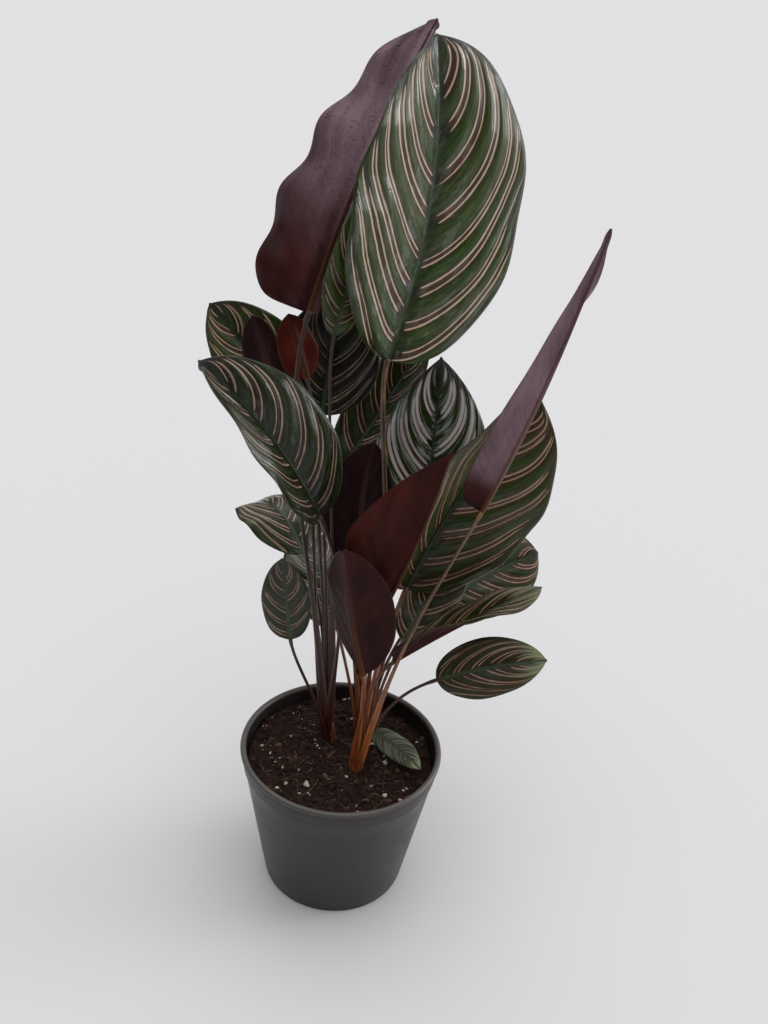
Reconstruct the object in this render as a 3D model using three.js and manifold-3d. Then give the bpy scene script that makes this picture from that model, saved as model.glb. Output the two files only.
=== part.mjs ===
// A potted pinstripe calathea: a nursery pot filled with peat, three leafy shoots, and one thin arched blade
// for each leaf. Millimetres, +Z up. The origin is the middle of the pot's underside, and -Y is the front.
import * as THREE from 'three';
import { mergeVertices } from 'three/addons/utils/BufferGeometryUtils.js';
import Module from 'manifold-3d';

const wasm = await Module();
wasm.setup();

// The pot
const rimRadius = 60;
const potHeight = 95;
const baseRadius = 43;
const wall = 1.6;
const lipDepth = 4;
const collarDrop = 13;
const drainHoles = 8;
const drainRadius = 3;
const drainCircle = 33;

// The soil, which stands clear of the pot by the gap that every pair of neighbours keeps
const gap = 0.3;
const wallGap = 0.45;
const soilLevel = 86;
const domeHeight = 2.2;

// The leaves' thickness, and their stalks
const bladeThickness = 0.8;
const ribHeight = 1.3;
const ribHalfWidth = 1.6;
const foldWidth = 6;
const pointShare = 0.02;
const baseHalfWidth = 1.4;
const tipHalfWidth = 0.5;
const leastStalkRadius = 0.7;
const bladePerStalk = 180;
const sheathRadius = 2.3;
const sheathShare = 0.45;
const rootShare = 0.35;

// Each shoot leaves the soil at one foot, which stands in a plain round hole
const shoots = {
  front: { foot: [6, -12], radius: 5.5 },
  left: { foot: [-4, 14], radius: 5.5 },
  back: { foot: [18, 19], radius: 5.5 },
};

// One line for each leaf. The midrib is a quadratic curve from base to tip, pushed sideways by bow, and face
// is the way its upper side looks. left and right are the halves, seen on the upper side with the tip up: how
// far each is folded up at the base and at the tip, and how far it bends back by the margin, in degrees.
// round holds the two powers of the outline, and wave the margin's height, count and start. The stalk leaves
// its shoot towards via, and reaches the blade straight over the last part, as long as reach.
const leaves = [
  { name: 'leaf_tall_open', shoot: 'back', base: [20, 35, 324], tip: [36, 50, 483], bow: [24, 8, 4],
    face: [0.2, -0.95, 0.22], width: 124, left: [33, 33, 22], right: [8, 8, 24], round: [0.48, 0.52],
    wave: [1.5, 3, 0], via: [38, 22, 200], reach: 25 },
  { name: 'leaf_tall_rolled', shoot: 'left', base: [-21, 46, 347], tip: [42, 68, 488], bow: [-8, 4, -2],
    face: [0.02, 1, -0.1], width: 90, left: [72, 72, 10], right: [58, 62, 15], round: [0.15, 0.48],
    wave: [5, 4, 0], via: [-10, 26, 190], reach: 70 },
  { name: 'leaf_dark_middle', shoot: 'left', base: [-6, 66, 280], tip: [8, 84, 346], bow: [0, 5, 0],
    face: [-0.3, -0.9, 0.3], width: 58, left: [15, 15, 20], right: [15, 15, 20], round: [0.5, 0.6],
    wave: [1, 2, 0], via: [-4, 36, 180], reach: 50 },
  { name: 'leaf_left_bright', shoot: 'left', base: [-23, -8, 256], tip: [-84, 0, 341], bow: [8, -4, 6],
    face: [-0.1, -0.85, 0.5], width: 62, left: [66, 66, 10], right: [8, 8, 25], round: [0.5, 0.6],
    wave: [1, 3, 0], via: [-8, 10, 150], reach: 60 },
  { name: 'leaf_centre_silver', shoot: 'back', base: [50, 45, 192], tip: [59, 58, 316], bow: [6, 2, 2],
    face: [-0.2, -0.95, 0.2], width: 76, left: [10, 10, 20], right: [18, 18, 20], round: [0.45, 0.75],
    wave: [1, 3, 60], via: [27, 24, 130], reach: 40 },
  { name: 'leaf_front_purple', shoot: 'front', base: [11, -26, 209], tip: [35, -34, 303], bow: [2, -6, 0],
    face: [0.05, 1, 0.1], width: 79, left: [105, 105, 10], right: [8, 8, 20], round: [0.95, 1.1],
    wave: [1.2, 2, 40], via: [8, -16, 130], reach: 40 },
  { name: 'leaf_right_broad', shoot: 'front', base: [35, 11, 194], tip: [106, 21, 304], bow: [-10, 0, 12],
    face: [-0.1, -0.85, 0.5], width: 98, left: [64, 72, 12], right: [8, 8, 25], round: [0.45, 0.45],
    wave: [1.5, 3, 10], via: [12, -5, 130], reach: 40 },
  { name: 'leaf_right_rolled', shoot: 'front', base: [50, -46, 275], tip: [87, -58, 419], bow: [1, -6, -8],
    face: [0.35, 0.93, 0], width: 32, left: [95, 80, 5], right: [5, 62, 15], round: [0.2, 0.9],
    wave: [2, 2, 0], via: [14, -30, 180], reach: 50 },
  { name: 'leaf_right_low', shoot: 'front', base: [21, -20, 167], tip: [104, -20, 208], bow: [0, 0, 5],
    face: [0.1, 0.15, 0.98], width: 46, left: [10, 10, 25], right: [80, 0, 25], round: [0.4, 0.5],
    wave: [1, 3, 0], via: [9, -15, 128], reach: 20 },
  { name: 'leaf_right_lowest', shoot: 'front', base: [46, -24, 154], tip: [102, -44, 175], bow: [0, 0, 5],
    face: [0, -0.75, 0.65], width: 35, left: [12, 12, 20], right: [12, 12, 30], round: [0.5, 0.6],
    wave: [0.8, 2, 90], via: [12, -16, 130], reach: 22 },
  { name: 'leaf_right_dark', shoot: 'front', base: [34, 4, 163], tip: [79, 34, 206], bow: [0, 0, 6],
    face: [-0.1, -0.5, 0.85], width: 34, left: [12, 12, 20], right: [12, 12, 30], round: [0.5, 0.5],
    wave: [0.8, 2, 0], via: [14, -8, 120], reach: 22 },
  { name: 'leaf_right_behind', shoot: 'back', base: [64, 34, 166], tip: [138, 56, 182], bow: [0, 0, 4],
    face: [0, -0.8, 0.6], width: 54, left: [12, 12, 20], right: [12, 12, 30], round: [0.5, 0.45],
    wave: [1, 2, 30], via: [26, 20, 128], reach: 30 },
  { name: 'leaf_centre_purple', shoot: 'back', base: [17, 26, 193], tip: [20, 44, 272], bow: [-12, 2, 0],
    face: [0.3, 0.9, 0.1], width: 46, left: [30, 30, 10], right: [20, 20, 20], round: [0.5, 0.6],
    wave: [1, 2, 0], via: [22, 26, 130], reach: 30 },
  { name: 'leaf_back_stripe', shoot: 'back', base: [10, 75, 240], tip: [65, 97, 317], bow: [4, 2, 0],
    face: [-0.8, -0.6, 0.3], width: 44, left: [30, 30, 20], right: [30, 30, 20], round: [0.5, 0.7],
    wave: [1, 3, 0], via: [17, 34, 160], reach: 22 },
  { name: 'leaf_front_short', shoot: 'front', base: [1, -27, 166], tip: [-18, -41, 256], bow: [-4, -4, 0],
    face: [0.1, 0.98, 0.1], width: 48, left: [10, 10, 20], right: [75, 75, 15], round: [0.5, 0.55],
    wave: [1, 2, 20], via: [2, -14, 118], reach: 28 },
  { name: 'leaf_left_dark', shoot: 'left', base: [-34, 0, 175], tip: [-41, -3, 230], bow: [0, 2, 0],
    face: [-0.3, -0.9, 0.3], width: 28, left: [15, 15, 20], right: [15, 15, 20], round: [0.5, 0.6],
    wave: [0.8, 2, 0], via: [-9, 12, 118], reach: 20 },
  { name: 'leaf_left_back', shoot: 'left', base: [-12, 88, 261], tip: [-63, 112, 331], bow: [2, 2, 4],
    face: [-0.1, -0.95, 0.3], width: 58, left: [40, 40, 20], right: [10, 10, 20], round: [0.5, 0.6],
    wave: [1.2, 3, 0], via: [-18, 26, 170], reach: 22 },
  { name: 'leaf_seedling', shoot: 'back', base: [21, 9, 94], tip: [40, -30, 94], bow: [2, -2, 4],
    face: [-0.2, -0.3, 0.93], width: 17, left: [5, 5, 20], right: [5, 5, 20], round: [0.5, 0.6],
    wave: [0.5, 2, 0], via: [20, 18, 104], reach: 4 },
  { name: 'leaf_rear_right', shoot: 'back', base: [34, 60, 190], tip: [78, 118, 258], bow: [0, 4, 16],
    face: [-0.3, -0.4, 0.85], width: 62, left: [14, 14, 24], right: [14, 14, 24], round: [0.45, 0.55],
    wave: [1.2, 3, 0], via: [20, 26, 130], reach: 40 },
  { name: 'leaf_rear_left', shoot: 'left', base: [-14, 60, 193], tip: [-38, 104, 204], bow: [0, 4, 24],
    face: [0.3, -0.4, 0.85], width: 60, left: [14, 14, 24], right: [14, 14, 24], round: [0.45, 0.55],
    wave: [1.2, 3, 40], via: [-8, 24, 130], reach: 40 },
  { name: 'leaf_rear_low', shoot: 'back', base: [8, 52, 140], tip: [2, 126, 168], bow: [0, 0, 14],
    face: [0, -0.2, 0.97], width: 50, left: [12, 12, 24], right: [12, 12, 24], round: [0.5, 0.55],
    wave: [1, 2, 0], via: [12, 24, 112], reach: 26 },
  { name: 'leaf_middle_bright', shoot: 'left', base: [-8, 42, 336], tip: [10, 47, 411], bow: [0, 0, 0],
    face: [0, -0.98, 0.1], width: 27, left: [10, 10, 20], right: [10, 10, 20], round: [0.5, 0.6],
    wave: [1, 2, 0], via: [0, 30, 205], reach: 25 },
  { name: 'leaf_left_red', shoot: 'left', base: [-18, 56, 307], tip: [-28, 63, 341], bow: [0, -2, 0],
    face: [0, 1, 0], width: 24, left: [30, 30, 15], right: [20, 20, 15], round: [0.4, 0.5],
    wave: [0.8, 2, 0], via: [-6, 30, 180], reach: 40 },
  { name: 'leaf_left_plum', shoot: 'left', base: [-32, 66, 290], tip: [-46, 70, 338], bow: [0, -2, 0],
    face: [0, 1, 0], width: 24, left: [30, 30, 15], right: [20, 20, 15], round: [0.5, 0.5],
    wave: [0.6, 2, 0], via: [-12, 34, 180], reach: 40 },
];

// Surfaces and solids
function closedGeometry(points, triangles) {
  const geometry = new THREE.BufferGeometry();
  geometry.setAttribute('position', new THREE.Float32BufferAttribute(points.flat(), 3));
  geometry.setIndex(triangles.flat());
  return geometry;
}

function toSolid(geometry) {
  const bare = geometry.clone();
  bare.deleteAttribute('normal');
  bare.deleteAttribute('uv');
  const merged = mergeVertices(bare, 1e-4);
  return new wasm.Manifold(new wasm.Mesh({
    numProp: 3,
    vertProperties: new Float32Array(merged.attributes.position.array),
    triVerts: new Uint32Array(merged.index.array),
  }));
}

function toGeometry(solid) {
  const { vertProperties, triVerts } = solid.getMesh();
  const geometry = new THREE.BufferGeometry();
  geometry.setAttribute('position', new THREE.BufferAttribute(vertProperties, 3));
  geometry.setIndex(new THREE.BufferAttribute(triVerts, 1));
  return geometry;
}

function lathe(profile, segments) {
  const points = profile.map(([r, z]) => new THREE.Vector2(r, z));
  return new THREE.LatheGeometry(points, segments).rotateX(Math.PI / 2);
}

const vec = (v) => new THREE.Vector3(...v);
const radians = THREE.MathUtils.degToRad;

// Pot: a tapered wall with a shallow collar under a rolled lip, and a floor with a ring of drainage holes
const floorThickness = 2;
const collarHeight = potHeight - collarDrop;
const collarStep = 0.7;
const lipWidth = 3.6;
const innerRimRadius = rimRadius - lipWidth;

function outerRadius(z) {
  return baseRadius + (innerRimRadius + wall - collarStep - baseRadius) * z / collarHeight;
}

function innerRadius(z) {
  return outerRadius(z) - wall;
}

function pot() {
  const lipCentre = rimRadius - lipWidth / 2;
  const roll = [-20, 20, 60, 90, 120, 160].map((degrees) => [
    lipCentre + lipWidth / 2 * Math.cos(radians(degrees)),
    potHeight - lipDepth / 2 + lipDepth / 2 * Math.sin(radians(degrees)),
  ]);
  const profile = [
    [0, 0],
    [baseRadius - 1.5, 0],
    [baseRadius, 1.5],
    [outerRadius(collarHeight), collarHeight],
    [outerRadius(collarHeight) + collarStep, collarHeight + 0.8],
    [innerRimRadius + wall, potHeight - lipDepth],
    [rimRadius, potHeight - lipDepth],
    ...roll,
    [innerRimRadius, potHeight - lipDepth],
    [innerRadius(collarHeight), collarHeight],
    [innerRadius(floorThickness), floorThickness],
    [0, floorThickness],
  ];
  let solid = toSolid(lathe(profile, 48));
  const drillHeight = 3 * floorThickness;
  for (let i = 0; i < drainHoles; i += 1) {
    const angle = 2 * Math.PI * (i + 0.5) / drainHoles;
    const hole = new THREE.CylinderGeometry(drainRadius, drainRadius, drillHeight, 12).rotateX(Math.PI / 2);
    hole.translate(drainCircle * Math.cos(angle), drainCircle * Math.sin(angle), floorThickness / 2);
    solid = solid.subtract(toSolid(hole));
  }
  return toGeometry(solid);
}

// Soil: peat that fills the pot, low in relief, with one plain hole for each shoot
const footDepth = 14;
const footClearance = 1;

function soilHeight(x, y) {
  const ripple = Math.sin(x / 7 + 0.6) * Math.cos(y / 6 - 0.4) + 0.6 * Math.sin(x / 3.7 - y / 4.9);
  const dome = 1 - (x * x + y * y) / (innerRadius(soilLevel) ** 2);
  return soilLevel - 1 + domeHeight * dome + ripple;
}

function soil() {
  const segments = 36;
  const rings = [0.14, 0.3, 0.46, 0.62, 0.78, 0.9, 1];
  const points = [[0, 0, soilHeight(0, 0)]];
  for (const ring of rings) {
    for (let i = 0; i < segments; i += 1) {
      const angle = 2 * Math.PI * i / segments;
      const radius = ring * (innerRadius(soilLevel - 4) - wallGap);
      const x = radius * Math.cos(angle);
      const y = radius * Math.sin(angle);
      points.push([x, y, soilHeight(x, y)]);
    }
  }
  const low = floorThickness + gap;
  for (let i = 0; i < segments; i += 1) {
    const angle = 2 * Math.PI * i / segments;
    const radius = innerRadius(low) - wallGap;
    points.push([radius * Math.cos(angle), radius * Math.sin(angle), low]);
  }
  points.push([0, 0, low]);
  const triangles = [];
  for (let i = 0; i < segments; i += 1) {
    const next = (i + 1) % segments;
    triangles.push([0, 1 + i, 1 + next]);
    for (let ring = 0; ring < rings.length; ring += 1) {
      const a = 1 + ring * segments;
      const b = a + segments;
      triangles.push([a + i, b + i, b + next], [a + i, b + next, a + next]);
    }
    const lowest = 1 + rings.length * segments;
    triangles.push([lowest + i, points.length - 1, lowest + next]);
  }
  let solid = toSolid(closedGeometry(points, triangles));
  const holeHeight = 40;
  const holeFloor = soilLevel - footDepth - 0.5;
  for (const { foot, radius } of Object.values(shoots)) {
    const clear = radius + footClearance;
    const hole = new THREE.CylinderGeometry(clear, clear, holeHeight, 16).rotateX(Math.PI / 2);
    hole.translate(foot[0], foot[1], holeFloor + holeHeight / 2);
    solid = solid.subtract(toSolid(hole));
  }
  return toGeometry(solid);
}

// Blade: across, each half bends in an arc from the midrib, and along, the midrib is a quadratic curve. The
// outline is an oval raised to two powers, drawn out to a point over the last share of its length.
function halfWidth(leaf, s) {
  const [a, b] = leaf.round;
  const widest = a / (a + b);
  const left = Math.max(1 - s, 0);
  const oval = leaf.width / 2 * (s / widest) ** a * (left / (1 - widest)) ** b;
  const least = tipHalfWidth + (baseHalfWidth - tipHalfWidth) * Math.min(1, left / pointShare);
  return Math.max(oval * left / (left + pointShare), least);
}

function midribFrame(leaf, s) {
  const base = vec(leaf.base);
  const tip = vec(leaf.tip);
  const middle = base.clone().add(tip).multiplyScalar(0.5).add(vec(leaf.bow));
  const curve = new THREE.QuadraticBezierCurve3(base, middle, tip);
  const along = curve.getTangent(s);
  const face = vec(leaf.face).normalize();
  const up = face.addScaledVector(along, -face.dot(along)).normalize();
  return { point: curve.getPoint(s), along, up, side: along.clone().cross(up) };
}

function bladePoint(leaf, s, t) {
  const { point, up, side } = midribFrame(leaf, s);
  const half = halfWidth(leaf, s);
  const hand = t < 0 ? -1 : 1;
  const [foldBase, foldTip, bend] = t < 0 ? leaf.left : leaf.right;
  const opened = Math.min(1, half / foldWidth);
  const fold = radians(opened * (foldBase + (foldTip - foldBase) * s));
  const curl = radians(bend);
  const out = Math.abs(t);
  const angle = fold - curl * out;
  const across = (Math.sin(fold) - Math.sin(angle)) / curl;
  const rise = (Math.cos(angle) - Math.cos(fold)) / curl;
  const [height, count, start] = leaf.wave;
  const phase = 2 * Math.PI * count * s + radians(start) + (hand > 0 ? 0.7 * Math.PI : 0);
  const wave = height * Math.sin(phase) * out ** 1.7 * Math.sqrt(Math.sin(Math.PI * Math.min(s, 1)));
  const normal = up.clone().multiplyScalar(Math.cos(angle)).addScaledVector(side, -hand * Math.sin(angle));
  const place = point.clone()
    .addScaledVector(side, hand * half * across)
    .addScaledVector(up, half * rise)
    .addScaledVector(normal, wave || 0);
  return { place, normal };
}

function ribNormal(leaf, s) {
  const left = bladePoint(leaf, s, -1e-6).normal;
  const right = bladePoint(leaf, s, 1e-6).normal;
  const sum = left.clone().add(right).normalize();
  return sum.multiplyScalar(Math.min(2, 1 / sum.dot(right)));
}

function blade(leaf) {
  const rows = 7 + Math.round(2 * leaf.wave[1]);
  const spread = [-1, -0.75, -0.42, 'left', 0, 'right', 0.42, 0.75, 1];
  const top = [];
  const bottom = [];
  for (let i = 0; i <= rows; i += 1) {
    const s = 0.5 - 0.5 * Math.cos(Math.PI * i / rows);
    const ribEdge = Math.min(0.3, ribHalfWidth / halfWidth(leaf, s));
    for (const mark of spread) {
      const t = mark === 'left' ? -ribEdge : mark === 'right' ? ribEdge : mark;
      const { place, normal } = bladePoint(leaf, s, t);
      const lift = t === 0 ? ribNormal(leaf, s) : normal;
      const below = bladeThickness / 2 + (t === 0 ? ribHeight * (1 - s) ** 0.7 : 0);
      top.push(place.clone().addScaledVector(lift, bladeThickness / 2).toArray());
      bottom.push(place.clone().addScaledVector(lift, -below).toArray());
    }
  }
  const columns = spread.length;
  const under = top.length;
  const triangles = [];
  for (let i = 0; i < rows; i += 1) {
    for (let j = 0; j < columns - 1; j += 1) {
      const a = i * columns + j;
      const b = a + columns;
      triangles.push([a, a + 1, b + 1], [a, b + 1, b]);
      triangles.push([under + a, under + b + 1, under + a + 1], [under + a, under + b, under + b + 1]);
    }
    const left = i * columns;
    const leftNext = left + columns;
    const right = leftNext - 1;
    const rightNext = right + columns;
    triangles.push([left, leftNext, under + leftNext], [left, under + leftNext, under + left]);
    triangles.push([right, under + rightNext, rightNext], [right, under + right, under + rightNext]);
  }
  for (let j = 0; j < columns - 1; j += 1) {
    const last = rows * columns + j;
    triangles.push([j, under + j, under + j + 1], [j, under + j + 1, j + 1]);
    triangles.push([last, last + 1, under + last + 1], [last, under + last + 1, under + last]);
  }
  return closedGeometry([...top, ...bottom], triangles);
}

// Stalk: a sheath that tapers into a slim round petiole along a cubic curve, from the foot to the blade
function stalkCurve(leaf) {
  const { foot, radius } = shoots[leaf.shoot];
  const base = vec(leaf.base);
  const along = midribFrame(leaf, 0).along;
  const via = vec(leaf.via);
  const lean = new THREE.Vector3(via.x - foot[0], via.y - foot[1], 0);
  lean.clampLength(0, rootShare * radius);
  const root = new THREE.Vector3(foot[0] + lean.x, foot[1] + lean.y, soilLevel - 6);
  const below = base.clone().addScaledVector(along, -leaf.reach);
  const end = base.clone().addScaledVector(along, -2 * gap);
  return new THREE.CubicBezierCurve3(root, via, below, end);
}

function stalk(leaf) {
  const curve = stalkCurve(leaf);
  const rows = Math.min(12, Math.max(6, Math.round(curve.getLength() / 18)));
  const sides = 6;
  const stalkRadius = leastStalkRadius + leaf.width / bladePerStalk;
  const frames = curve.computeFrenetFrames(rows, false);
  const points = [curve.getPointAt(0).toArray()];
  for (let i = 0; i <= rows; i += 1) {
    const u = i / rows;
    const centre = curve.getPointAt(u);
    const narrowed = THREE.MathUtils.smoothstep(u, 0.05, sheathShare);
    const radius = THREE.MathUtils.lerp(sheathRadius, stalkRadius, narrowed);
    for (let k = 0; k < sides; k += 1) {
      const angle = 2 * Math.PI * k / sides;
      points.push(centre.clone()
        .addScaledVector(frames.normals[i], radius * Math.cos(angle))
        .addScaledVector(frames.binormals[i], radius * Math.sin(angle)).toArray());
    }
  }
  points.push(curve.getPointAt(1).toArray());
  const triangles = [];
  for (let k = 0; k < sides; k += 1) {
    const next = (k + 1) % sides;
    triangles.push([0, 1 + next, 1 + k]);
    for (let i = 0; i < rows; i += 1) {
      const a = 1 + i * sides;
      const b = a + sides;
      triangles.push([a + k, a + next, b + next], [a + k, b + next, b + k]);
    }
    const last = 1 + rows * sides;
    triangles.push([last + k, last + next, points.length - 1]);
  }
  return closedGeometry(points, triangles);
}

// Shoot: the foot in its hole, with the stalks of its leaves fused to it
function shoot(name) {
  const { foot, radius } = shoots[name];
  const profile = [
    [0, soilLevel - footDepth],
    [radius, soilLevel - footDepth],
    [radius, soilLevel + 2],
    [radius * 0.7, soilLevel + 12],
    [0, soilLevel + 15],
  ];
  let solid = toSolid(lathe(profile, 14).translate(foot[0], foot[1], 0));
  for (const leaf of leaves.filter((one) => one.shoot === name)) {
    solid = solid.add(toSolid(stalk(leaf)));
  }
  return toGeometry(solid);
}

// The finished plant
const potPlastic = new THREE.MeshStandardMaterial({ color: 0x4a4744, roughness: 0.45, metalness: 0 });
const peat = new THREE.MeshStandardMaterial({ color: 0x2a1d17, roughness: 0.95, metalness: 0 });
const sheathBrown = new THREE.MeshStandardMaterial({ color: 0x70402c, roughness: 0.55, metalness: 0 });
const leafGreen = new THREE.MeshStandardMaterial({ color: 0x2f4a2c, roughness: 0.35, metalness: 0 });

const group = new THREE.Group();

function place(name, geometry, material) {
  const mesh = new THREE.Mesh(geometry, material);
  mesh.name = name;
  group.add(mesh);
}

place('pot', pot(), potPlastic);
place('soil', soil(), peat);
for (const name of Object.keys(shoots)) {
  place(`shoot_${name}`, shoot(name), sheathBrown);
}
for (const leaf of leaves) {
  place(leaf.name, blade(leaf), leafGreen);
}

export default group;
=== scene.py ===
"""The looks of a potted pinstripe calathea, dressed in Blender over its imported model.

Lengths are written in millimetres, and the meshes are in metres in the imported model's own frame.
"""
from functools import partial
from math import radians

import bpy
import numpy as np
from mathutils import Matrix, Vector


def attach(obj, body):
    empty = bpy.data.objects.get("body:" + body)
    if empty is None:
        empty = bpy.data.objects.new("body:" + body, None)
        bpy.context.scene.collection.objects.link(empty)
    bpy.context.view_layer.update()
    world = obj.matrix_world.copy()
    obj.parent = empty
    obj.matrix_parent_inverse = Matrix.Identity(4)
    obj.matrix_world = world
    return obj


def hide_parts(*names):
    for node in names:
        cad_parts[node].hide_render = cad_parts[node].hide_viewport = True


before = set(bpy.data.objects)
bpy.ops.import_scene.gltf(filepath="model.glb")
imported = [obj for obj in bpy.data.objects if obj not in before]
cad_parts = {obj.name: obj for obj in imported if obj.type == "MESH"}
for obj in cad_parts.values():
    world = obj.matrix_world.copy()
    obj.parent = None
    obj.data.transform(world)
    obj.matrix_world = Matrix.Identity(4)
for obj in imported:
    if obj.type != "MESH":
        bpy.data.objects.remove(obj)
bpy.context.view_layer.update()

MM = 0.001
BODY = "root"

# The camera stands where the photograph's stood, and looks at the middle of the plant
CAMERA_PLACE = (-147.7, -486.8, 533.0)
CAMERA_TARGET = (14, 0, 252)
CAMERA_ROLL = 5
CAMERA_LENS = 38.6
CAMERA_SENSOR = 36
CAMERA_NEAREST = 10

# The light: the sky's strength in front, what it gains to the right, overhead and behind, and what is
# seen of it
SKY_FRONT = 0.15
SKY_RIGHT = 1.3
SKY_TOP = 1.5
SKY_BACK = 0.15
SKY_SEEN = 0.75
FLOOR_REACH = 30000

# The pot
RIM_RADIUS = 60
POT_HEIGHT = 95
BASE_RADIUS = 43
FOOT_ROUNDING = 1.5
WALL = 1.6
LIP_DEPTH = 4
LIP_WIDTH = 3.6
COLLAR_HEIGHT = 82
COLLAR_STEP = 0.7
FLOOR_THICKNESS = 2
DRAIN_HOLES = 8
DRAIN_RADIUS = 3
DRAIN_CIRCLE = 33
INNER_RIM_RADIUS = RIM_RADIUS - LIP_WIDTH

# The peat: its level, its relief, whose finer waves have a direction, a length and a height each, the
# gaps that keep it off the pot, and how far from the wall the loose bits stay
SOIL_LEVEL = 86
SOIL_DOME = 2.2
SOIL_WAVES = ((0.5, 3.1, 0.35), (1.9, 2.3, 0.3), (2.7, 1.7, 0.22), (4.1, 1.25, 0.16))
WALL_GAP = 0.45
FLOOR_GAP = 0.3
SCATTER_MARGIN = 2.5
FIBRE_MARGIN = 8

# The blades' section and outline
BLADE_THICKNESS = 0.5
EDGE_THICKNESS = 0.16
EDGE_ROUNDING = 0.5
RIB_HEIGHT = 1.3
RIB_HALF_WIDTH = 1.6
CREASE_RADIUS = 0.9
POINT_SHARE = 0.02
BASE_HALF_WIDTH = 1.4
TIP_HALF_WIDTH = 0.5
FOLD_WIDTH = 6
WAVE_GROWTH = 1.7
FULL_WIDTH = 110
CELL = 1.2
COLUMN_CROWDING = 1.25

# The relief of a blade
PLEAT_HEIGHT = 0.4
PLEATED_PITCH = 9
FOLD_SPACING = 5.2
RIPPLE_HEIGHT = 0.3
RIPPLE_SPACINGS = (7, 4.3)

# The side veins. They sweep by |t| and by its square on a blade of the usual width for its length, and
# less near the base and the tip. The pairs of stripes crowd at the base, the first start before it, and
# the left half's are scaled and shifted.
VEIN_SWEEP = (0.2625, 0.2835)
SWEEP_ONSET = 0.35
SWEEP_LOSS = 0.25
USUAL_SLENDERNESS = 0.66
VEIN_CROWDING = 0.68
FEWEST_PAIRS = 4.1
LENGTH_PER_PAIR = 30
EARLY_VEINS = 0.075
LEFT_SCALE = 1.08
LEFT_SHIFT = 0.35

# A pair of stripes at full size: from its middle to each line, by the midrib and at the margin, the share
# of the pitch by which chance moves it, and how far the dark green beside it reaches. Then a line of it.
PAIR_SPACING = 1.9
MARGIN_SPACING = 1.0
PAIR_SHIFT = 0.26
BESIDE_REACH = 3.2
LINE_HALF_WIDTH = 0.5
LINE_SOFTNESS = 0.14
LINE_WOBBLE = 0.5

# The stalks, whose radius grows with the blade's width, with their sheaths, and the swelling under the
# blade
LEAST_STALK_RADIUS = 0.7
BLADE_PER_STALK = 180
SHEATH_RADIUS = 2.1
SHEATH_SHARE = 0.45
SHEATH_WIDER = 0.35
SHEATH_THINNER = 0.3
SWELLING = 0.3
SWELLING_LENGTH = 12
ROOT_SHARE = 0.35
ROOT_DEPTH = 6
STALK_SIDES = 20
STALK_CELL = 2.5

# The crown of each shoot. A shoot leaves the peat at its foot, and tints run from orange, 0, to dark, 1.
SHOOT_RADIUS = 5.5
CROWN_SHARE = 0.75
CROWN_HEIGHT = 15
CROWN_DEPTH = 12
CROWN_FLUTES = 9
SHOOTS = {
    "front": {"foot": (6, -12), "crown": 0.1, "stalks": 0.05},
    "left": {"foot": (-4, 14), "crown": 0.8, "stalks": 1.0},
    "back": {"foot": (18, 19), "crown": 0.5, "stalks": 0.45},
}


def leaf(name, shoot, base, tip, bow, face, width, left, right, round, wave, via, reach,
         fresh=0.25, depth=0.0, silver=0.0, pale=0.0, tan=0.0, blush=0.2, bloom=(0.0, 0.0), wet=0.0,
         rumple=0.3, pleat=1.0, slant=1.0, stem=0.0):
    """One line of the leaf table, as the solids have it, with the leaf's own tints and its painted shade
    and sheen.

    The midrib runs from base to tip, pushed sideways by bow, and face is the way the upper side looks.
    left and right are the halves' folds at base and tip and their bend, in degrees. round holds the
    outline's two powers, and wave the margin's height, count and start. The stalk passes through via, and
    its last handle is reach long. On the upper side fresh makes the green younger, depth darkens it with
    painted shade, silver streaks it with a painted grey sheen and makes its lines wider and whiter, pale
    lightens its tip and tan browns it. Below, blush makes it redder, and bloom greys it with wax at the
    base and at the tip, or under 0 darkens it with painted shade. wet lays a broken film of water on the
    upper side and droplets on the lower one. rumple is the height of the soft lengthwise folds, pleat
    scales the folds along the side veins, slant lays the side veins more along the midrib, and stem
    darkens the stalk.
    """
    return dict(locals())


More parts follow.
